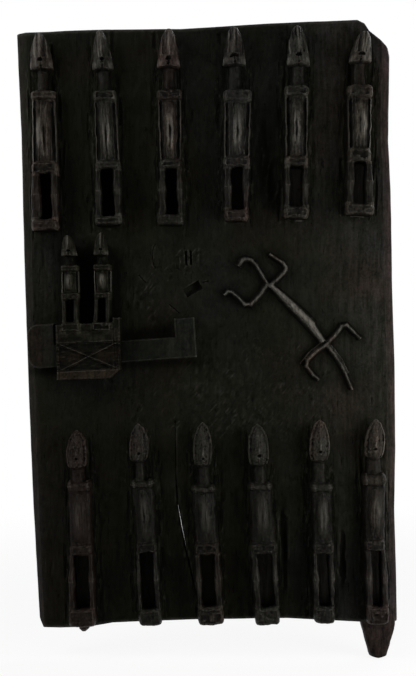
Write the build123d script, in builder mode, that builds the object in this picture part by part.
from build123d import *
import os
from math import cos, radians, sin

os.makedirs("parts", exist_ok=True)

# Granary door leaf, standing upright, carved side towards -Y.
# Origin: centre of the lower pivot's bottom end. All sizes in millimetres.

# ------------------------------------------------------------------ driving dimensions
PLANK = 28.0                # thickness of the plank where it is chiselled back
FIELD = -PLANK / 2          # Y of the chiselled field that carries the carvings
BACK = PLANK / 2            # Y of the flat back
RELIEF = 29.0               # how far the large figures stand out of the field
ROOT = 9.0                  # how far carvings run into the plank, under the bevels too

PIVOT_RADIUS = 12.5         # worn round end of the lower pivot post
PIVOT_LENGTH = 12.0
POST_TOP = 51.5             # height where the post grows out of the plank
POST_MIDDLE = -1.5
POST_WIDTH = 45.0
POST_FOOT = 27.0            # its width where the round end starts

BEVEL_IN = 12.0             # side margins slope back: width of the slope on the face
BEVEL_BACK = 8.0            # and its drop towards the back

FOOT_BAR_UPPER = 13.0       # height of the block that an upper figure stands on
FOOT_BAR_LOWER = 17.0
BODY_BAR = 13.0             # height of the hip and shoulder bars
UPPER_WIDTH = 31.0
LOWER_WIDTH = 29.0

LIZARD_HEIGHT = 9.0         # ridge of the lizard's limbs above the field
LIZARD_ARCH = 3.0           # and how much higher its back rises
LIZARD_ROOT = 1.0           # how far its strokes run into the plank
RIDGE_SHARE = 0.3           # ridge width over the limb's width at the field

MORTISE_X, MORTISE_Z = -233.5, 464.0        # cut for an earlier lock
MORTISE_LONG, MORTISE_HIGH, MORTISE_DEEP = 18.0, 9.0, 10.0
MORTISE_TURN = 32.0

LOCK_TILT = 3.6             # degrees by which the lock climbs to the right
LOCK_X, LOCK_Z = -362.4, 382.7              # centre of the bolt's channel
LOCK_DEPTH = 38.0           # lock body, from the field to its front
LOCK_FIGURE_DEPTH = 40.0
LOCK_FIGURE_WIDTH = 21.0
LOCK_FOOT_BAR = 11.0
LOCK_BODY_BAR = 8.0
LOCK_EDGE = 1.6             # rounding of the lock body's front edges
CHIP_DEEP = 2.5             # chip-carved triangles round the X

BOLT_THICK = 20.0
BOLT_HIGH = 28.8            # height of the bolt's shank
BOLT_GAP = 0.4              # clearance of the bolt in its channel and off the field
BOLT_EDGE = 1.5
HEAD_LEFT, HEAD_RIGHT = -74.0, -39.2        # along the bolt, from the channel's centre
HEAD_TOP, HEAD_ROUND = 40.5, 15.0
GRIP_LEFT, GRIP_RIGHT, GRIP_TOP = 108.5, 134.5, 37.5
BOLT_TRAVEL = 64.0          # throw of the bolt to the left

TUMBLER_PITCH = 19.0        # three tumblers side by side above the shank
STEM_WIDE, STEM_LONG = 6.0, 12.3
TUMBLER_HEAD_WIDE, TUMBLER_HEAD_HIGH = 11.0, 4.0
TUMBLER_DEEP = 10.2
TUMBLER_REST = 0.3          # gap between a resting tumbler and the shank
TUMBLER_DROP = 7.6          # how far a tumbler falls into the thrown bolt
TUMBLER_LIFT = 3.4          # room above a resting tumbler
SIDE_GAP = 0.3              # clearance beside a tumbler
KEY_HIGH, KEY_DEEP, KEY_END = 14.0, 11.2, 40.0   # key groove in the bolt's back

NAIL_WIDE = 4.4             # square shank of a forged nail
NAIL_HEAD_WIDE, NAIL_HEAD_HIGH = 11.0, 3.0
NAIL_BITE = 22.0            # how far a nail reaches into the lock body
NAIL_PLACES = [(-31, 27), (32, 29), (-28, -22.5), (22, -22.5)]

# Plank outline (x, z), anticlockwise from the top left corner. The upper pivot has broken
# off, which leaves the slanting corner at the top right.
PLANK_OUTLINE = [
    (-455, 785.5), (-449, 656), (-445, 487), (-441, 370), (-435, 215), (-426, 52),
    (-420, 42), (-399, 42.5), (-333, 46), (-224, 50), (-114, 51.5), (-26, 47),
    (24, 46), (23, 104), (20.5, 189), (22, 262), (21, 374), (18, 465),
    (16, 588), (13, 651), (14.5, 757), (12, 769), (-12, 788), (-18, 797), (-27, 801.5),
    (-62, 800), (-136, 797), (-249, 789.5), (-312, 788), (-401, 785.5),
]

# Figures: foot x and z, lean in degrees (negative leans left), then the heights above the
# feet of hip bar, shoulder bar, chin and cap tip, and the width of the head
UPPER_FIGURES = [
    (-415, 535, -1.3, 70, 161, 197, 248, 30),
    (-337, 542, -2.3, 68, 154, 190, 244, 28),
    (-260, 542, -0.9, 69, 154, 193, 246, 29),
    (-179, 547, -0.6, 66, 149, 190, 244, 30),
    (-105, 550, 0.6, 65, 151, 187, 242, 30),
    (-27, 554, 1.0, 68, 147, 187, 232, 29),
]
LOWER_FIGURES = [
    (-369, 49, -1.5, 85, 164, 191.5, 240, 28),
    (-285, 51, -3.2, 87, 165, 198.5, 247, 27),
    (-210, 52, -3.2, 84, 158, 191.5, 247, 26),
    (-140, 52, -3.5, 85, 161, 191.5, 246, 28),
    (-70, 54, -2.1, 83, 158, 194.5, 248, 27),
    (-4, 53, -1.5, 87, 168, 199.5, 250, 27),
]
LOCK_FIGURES = [
    (-382, 410, -1.4, 39, 74, 92, 121, 19.5),
    (-344, 411, 0.0, 40, 74, 92, 123, 19),
]

# Outline of a head, upwards from the chin: share of its half width, share of its height.
# The upper row wears pointed caps, the lower row has almond heads.
HEAD_FLATS = 12             # knife cuts round a head
POINTED_HEAD = [(0.84, 0), (1, 0.07), (0.95, 0.27), (0.7, 0.58), (0.32, 0.87), (0.05, 1)]
ALMOND_HEAD = [(0.5, 0), (0.86, 0.12), (1, 0.36), (0.88, 0.66), (0.45, 0.92), (0.07, 1)]

# Lizard: centre lines (x, z) of its limbs, and (x, z, radius) along its body
LIMB_RADIUS = 4.2
LIZARD_LIMBS = [
    [(-173, 495), (-168, 500), (-158, 496), (-139, 468)],
    [(-137, 468), (-118, 486), (-137, 504)],
    [(-142, 466), (-164, 441), (-185, 461), (-193, 457)],
    [(-66, 395), (-43, 422), (-26, 405)],
    [(-69, 393), (-92, 370), (-78, 352)],
    [(-65, 393), (-48, 374), (-40, 360), (-36, 342)],
]
LIZARD_BODY = [(-138, 468, 4.5), (-112, 446, 6.5), (-90, 424, 6.5), (-67, 394, 4.5)]

# Hollows left by the adze: x, z, width, height, depth
HOLLOWS = [(-144, 638, 19, 98, 5), (-121, 135, 14, 125, 5), (-46, 122, 13, 82, 4)]
HOLLOW_SHAPE = [(0, 0.5), (0.4, 0.3), (0.5, 0), (0.3, -0.35), (0, -0.5), (-0.35, -0.3), (-0.5, 0.1)]

# Crack through the plank: (x, z) of its middle line, and half its width there
CRACK = [(-254, 218, 0.0), (-252, 196, 0.9), (-247, 168, 1.1), (-242, 140, 0.9), (-235, 110, 0.0)]

# Lock body's outline in the lock's own frame: u along the bolt, v across it
LOCK_OUTLINE = [
    (-36, 38.5), (-38.2, -29.6), (27.5, -31.5), (40.5, -21.4), (44, 42.6), (34.5, 43), (33.5, 37.5),
]
CHIP_CORNERS = [(-34, -18.5), (37.5, -19.5), (39.5, 13), (-33, 14.5)]   # panel with the X
X_BAND = 1.8                # distance of each chipped triangle from the X's middle lines


# ------------------------------------------------------------------ carved figures
def lofted_limb(sections, root):
    """A limb through rectangles (z, x, width, depth) that run back to the plane y = root."""
    with BuildPart() as limb:
        for z, x, width, depth in sections:
            with BuildSketch(Plane.XY.offset(z)):
                with Locations((x, (root - depth) / 2)):
                    Rectangle(width, depth + root)
        loft(ruled=True)
    return limb.part


def carved_head(outline, chin, tip, width, middle):
    """A head cut in flats about the upright line y = -middle, with a long ridge down to the nose."""
    radius = width / 2
    height = tip - chin
    front = -middle - radius
    with BuildPart() as head:
        for share, up in outline:
            with BuildSketch(Plane.XY.offset(chin + up * height)):
                with Locations((0, -middle)):
                    RegularPolygon(share * radius, HEAD_FLATS, major_radius=False,
                                   rotation=180 / HEAD_FLATS)
        loft(ruled=True)
        with BuildSketch(Plane.YZ):
            with BuildLine():
                Polyline((-middle, tip - 1), (front - 1.2, chin + 0.3 * height),
                         (front + 1, chin + 0.16 * height), (-middle, chin + 0.16 * height), close=True)
            make_face()
        extrude(amount=0.1 * radius, both=True)
    return head.part


def standing_figure(heights, head_width, head_outline, width, foot, bar, depth, root):
    """One figure, feet at the origin, facing -Y, cut from the wood in front of y = root."""
    hip, shoulder, chin, tip = heights
    waist = hip + bar
    leg = 0.29 * width
    leg_x = (width - leg) / 2 - 0.5
    knee = foot + 0.5 * (hip - foot)
    belly = waist + 0.45 * (shoulder - waist)
    middle = depth - head_width / 2
    standing = (Align.CENTER, Align.MAX, Align.MIN)

    limbs = [
        lofted_limb([(foot - 1, side * leg_x, leg - 1, 0.72 * depth),
                     (knee, side * leg_x, leg + 2, 0.86 * depth),
                     (hip + 1, side * leg_x, leg, 0.8 * depth)], root)
        for side in (-1, 1)
    ]
    torso = lofted_limb([(waist - 1, 0, 0.78 * width, 0.74 * depth),
                         (belly, 0, 0.82 * width, 0.92 * depth),
                         (shoulder + 1, 0, 0.8 * width, 0.74 * depth)], root)
    head = carved_head(head_outline, chin, tip, head_width, middle)

    with BuildPart() as figure:
        with Locations((0, root, 0)):
            Box(width, depth + root, foot, align=standing)
        with Locations((0, root, hip), (0, root, shoulder)):
            Box(0.94 * width, 0.95 * depth + root, bar, align=standing)
        chamfer(figure.edges().filter_by(Axis.X).group_by(Axis.Y)[0], length=0.2 * bar)
        add(limbs + [torso, head])
        # arms, neck, and the wood left standing behind the head
        with Locations((-0.45 * width, root, waist), (0.45 * width, root, waist)):
            Box(0.1 * width, 0.66 * depth + root, shoulder - waist, align=standing)
        with Locations((0, root, shoulder + bar - 1)):
            Box(0.5 * width, 0.68 * depth + root, chin - shoulder - bar + 2, align=standing)
        with Locations((0, root, chin)):
            Box(0.4 * head_width, middle + root, 0.6 * (tip - chin), align=standing)
    return figure.part


def row_of_figures(rows, head_outline, *sizes):
    """The figures of one row, each set on its feet and leaning as it was carved."""
    return [
        standing_figure(heights, head, head_outline, *sizes).moved(
            Location((x, FIELD, z), (0, lean, 0)))
        for x, z, lean, *heights, head in rows
    ]


upper_row = row_of_figures(
    UPPER_FIGURES, POINTED_HEAD, UPPER_WIDTH, FOOT_BAR_UPPER, BODY_BAR, RELIEF, ROOT)
lower_row = row_of_figures(
    LOWER_FIGURES, ALMOND_HEAD, LOWER_WIDTH, FOOT_BAR_LOWER, BODY_BAR, RELIEF, ROOT)
lock_pair = row_of_figures(
    LOCK_FIGURES, POINTED_HEAD, LOCK_FIGURE_WIDTH, LOCK_FOOT_BAR, LOCK_BODY_BAR,
    LOCK_FIGURE_DEPTH, 0)


def lizard_stroke(start, end, start_radius, end_radius, height):
    """One straight piece of the lizard, its sides sloping up to a narrow ridge."""
    along = (Vector(end[0], 0, end[1]) - Vector(start[0], 0, start[1])).normalized()
    across = Vector(-along.Z, 0, along.X)
    with BuildPart() as stroke:
        for (x, z), radius, way in ((start, start_radius, -1), (end, end_radius, 1)):
            foot = Vector(x, FIELD + LIZARD_ROOT, z) + along * (way * 0.7 * radius)
            with BuildSketch(Plane(origin=foot, x_dir=across, z_dir=along)):
                with BuildLine():
                    Polyline((-radius, 0), (radius, 0), (RIDGE_SHARE * radius, height + LIZARD_ROOT),
                             (-RIDGE_SHARE * radius, height + LIZARD_ROOT), close=True)
                make_face()
        loft(ruled=True)
    return stroke.part


lizard = [
    lizard_stroke(start, end, LIMB_RADIUS, LIMB_RADIUS, LIZARD_HEIGHT)
    for points in LIZARD_LIMBS
    for start, end in zip(points, points[1:])
] + [
    lizard_stroke((x1, z1), (x2, z2), r1, r2, LIZARD_HEIGHT + LIZARD_ARCH)
    for (x1, z1, r1), (x2, z2, r2) in zip(LIZARD_BODY, LIZARD_BODY[1:])
]

# ------------------------------------------------------------------ frame of the lock
lock_plane = Plane(
    origin=(LOCK_X, FIELD, LOCK_Z),
    x_dir=(cos(radians(LOCK_TILT)), 0, sin(radians(LOCK_TILT))),
    z_dir=(0, -1, 0),
)
SHANK = BOLT_HIGH / 2
CHANNEL = SHANK + BOLT_GAP
TUMBLER_TIP = SHANK + TUMBLER_REST
HEAD_UNDER = TUMBLER_TIP + STEM_LONG
CHAMBER_SHOULDER = HEAD_UNDER - TUMBLER_DROP
CHAMBER_TOP = HEAD_UNDER + TUMBLER_HEAD_HIGH + TUMBLER_LIFT
TUMBLER_PLACES = [-TUMBLER_PITCH, 0, TUMBLER_PITCH]

# ------------------------------------------------------------------ nails
nails = []
for place in NAIL_PLACES:
    with BuildPart() as nail:
        with BuildSketch(lock_plane.offset(-PLANK)):
            with Locations(place):
                Rectangle(NAIL_HEAD_WIDE, NAIL_HEAD_WIDE)
        with BuildSketch(lock_plane.offset(NAIL_HEAD_HIGH - PLANK)):
            with Locations(place):
                Rectangle(NAIL_WIDE, NAIL_WIDE)
        loft(ruled=True)
        with BuildSketch(lock_plane.offset(NAIL_HEAD_HIGH - PLANK)):
            with Locations(place):
                Rectangle(NAIL_WIDE, NAIL_WIDE)
        extrude(amount=PLANK - NAIL_HEAD_HIGH + NAIL_BITE)
    nail.part.label = f"lock_nail_{len(nails) + 1}"
    export_step(nail.part, f"parts/{nail.part.label}.step")
    nails.append(nail.part)

# ------------------------------------------------------------------ door panel
with BuildPart() as door_panel:
    with BuildSketch(Plane.XZ.offset(-BACK)):
        with BuildLine():
            Polyline(PLANK_OUTLINE, close=True)
        make_face()
    extrude(amount=PLANK)

    # both side margins slope back from the field
    front = door_panel.faces().sort_by(Axis.Y)[0]
    long_sides = [
        edge for edge in front.edges() if abs(edge.tangent_at(0.5).Z) > 0.9 and edge.length > 40
    ]
    chamfer(long_sides, length=BEVEL_IN, length2=BEVEL_BACK, reference=front)

    # lower pivot post: the plank narrows to a squared neck with a round end
    with BuildSketch(Plane.XY.offset(POST_TOP)):
        with Locations((POST_MIDDLE, 0)):
            Rectangle(POST_WIDTH, PLANK - 1)
    with BuildSketch(Plane.XY.offset(PIVOT_LENGTH)):
        Rectangle(POST_FOOT, 2 * PIVOT_RADIUS)
    loft(ruled=True)
    with BuildSketch(Plane.XY):
        Circle(PIVOT_RADIUS)
    extrude(amount=PIVOT_LENGTH)

    # hollows left by the adze, and the mortise of an earlier lock
    for x, z, width, height, deep in HOLLOWS:
        for level, share in ((0.5, 1.0), (-deep, 0.4)):
            with BuildSketch(Plane.XZ.offset(level - FIELD)):
                with BuildLine():
                    Polyline([(x + share * across * width, z + share * up * height)
                              for across, up in HOLLOW_SHAPE], close=True)
                make_face()
        loft(ruled=True, mode=Mode.SUBTRACT)
    with BuildSketch(Plane.XZ.offset(-FIELD)):
        with Locations(Location((MORTISE_X, MORTISE_Z), MORTISE_TURN)):
            Rectangle(MORTISE_LONG, MORTISE_HIGH)
    extrude(amount=-MORTISE_DEEP, mode=Mode.SUBTRACT)

    # the crack that runs through the plank
    with BuildSketch(Plane.XZ.offset(-BACK)):
        with BuildLine():
            left = [(x - half, z) for x, z, half in CRACK]
            right = [(x + half, z) for x, z, half in CRACK[-2:0:-1]]
            Polyline(left + right, close=True)
        make_face()
    extrude(amount=PLANK, mode=Mode.SUBTRACT)

    add(upper_row + lower_row + lizard)
    add(nails, mode=Mode.SUBTRACT)
door_panel.part.label = "door_panel"
export_step(door_panel.part, "parts/door_panel.step")

# ------------------------------------------------------------------ lock body
corners = [Vector(*corner) for corner in CHIP_CORNERS]
crossing = sum(corners, Vector()) / len(corners)

with BuildPart() as lock_body:
    with BuildSketch(lock_plane):
        with BuildLine():
            Polyline(LOCK_OUTLINE, close=True)
        make_face()
    extrude(amount=LOCK_DEPTH)
    chamfer(lock_body.faces().sort_by(Axis.Y)[0].edges(), length=LOCK_EDGE)

    # four chipped triangles leave an X standing between them
    with BuildSketch(lock_plane.offset(LOCK_DEPTH)):
        for start, end in zip(corners, corners[1:] + corners[:1]):
            inward = (crossing - (start + end) / 2).normalized() * X_BAND
            with BuildLine():
                Polyline(start + (end - start) * 0.1, end + (start - end) * 0.1,
                         crossing - inward, close=True)
            make_face()
    extrude(amount=-CHIP_DEEP, taper=30, mode=Mode.SUBTRACT)
    add(lock_pair)

    # channel for the bolt, open at the back
    with BuildSketch(lock_plane):
        Rectangle(4 * LOCK_DEPTH, 2 * CHANNEL)
    extrude(amount=BOLT_THICK + 2 * BOLT_GAP, mode=Mode.SUBTRACT)

    # T-shaped tumbler chambers, cut from the back
    with BuildSketch(lock_plane):
        for u in TUMBLER_PLACES:
            with Locations((u, CHAMBER_SHOULDER / 2)):
                Rectangle(STEM_WIDE + 2 * SIDE_GAP, CHAMBER_SHOULDER)
            with Locations((u, (CHAMBER_SHOULDER + CHAMBER_TOP) / 2)):
                Rectangle(TUMBLER_HEAD_WIDE + 2 * SIDE_GAP, CHAMBER_TOP - CHAMBER_SHOULDER)
    extrude(amount=TUMBLER_DEEP + 2 * SIDE_GAP, mode=Mode.SUBTRACT)
    add(nails, mode=Mode.SUBTRACT)
lock_body.part.label = "lock_body"
export_step(lock_body.part, "parts/lock_body.step")

# ------------------------------------------------------------------ bolt
with BuildPart() as lock_bolt:
    with BuildSketch(lock_plane.offset(BOLT_GAP)) as lock_bolt_outline:
        with BuildLine():
            Polyline((HEAD_LEFT, -SHANK), (GRIP_RIGHT, 2 - SHANK), (GRIP_RIGHT, GRIP_TOP),
                     (GRIP_LEFT, GRIP_TOP), (GRIP_LEFT, SHANK), (HEAD_RIGHT, SHANK),
                     (HEAD_RIGHT, HEAD_TOP), (HEAD_LEFT, HEAD_TOP), close=True)
        make_face()
        fillet(lock_bolt_outline.vertices().group_by(Axis.X)[0], radius=HEAD_ROUND)
    extrude(amount=BOLT_THICK)
    front_face = lock_bolt.faces().sort_by(Axis.Y)[0]
    chamfer(front_face.edges(), length=BOLT_EDGE)

    # key groove in the back, from the right end to past the first notch
    with BuildSketch(lock_plane):
        with Locations(((KEY_END + GRIP_RIGHT) / 2 + 1, 0)):
            Rectangle(GRIP_RIGHT - KEY_END + 2, KEY_HIGH)
        # notches that the tumblers fall into when the bolt is thrown
        for u in TUMBLER_PLACES:
            with Locations((u + BOLT_TRAVEL, SHANK / 2)):
                Rectangle(STEM_WIDE + 4 * SIDE_GAP, SHANK + 1)
    extrude(amount=KEY_DEEP, mode=Mode.SUBTRACT)
lock_bolt.part.label = "lock_bolt"
export_step(lock_bolt.part, "parts/lock_bolt.step")

# ------------------------------------------------------------------ tumblers
for number, u in enumerate(TUMBLER_PLACES, start=1):
    with BuildPart() as tumbler:
        with BuildSketch(lock_plane.offset(SIDE_GAP)):
            with Locations((u, TUMBLER_TIP + STEM_LONG / 2)):
                Rectangle(STEM_WIDE, STEM_LONG)
            with Locations((u, HEAD_UNDER + TUMBLER_HEAD_HIGH / 2)):
                Rectangle(TUMBLER_HEAD_WIDE, TUMBLER_HEAD_HIGH)
        extrude(amount=TUMBLER_DEEP)
    tumbler.part.label = f"tumbler_{number}"
    export_step(tumbler.part, f"parts/{tumbler.part.label}.step")
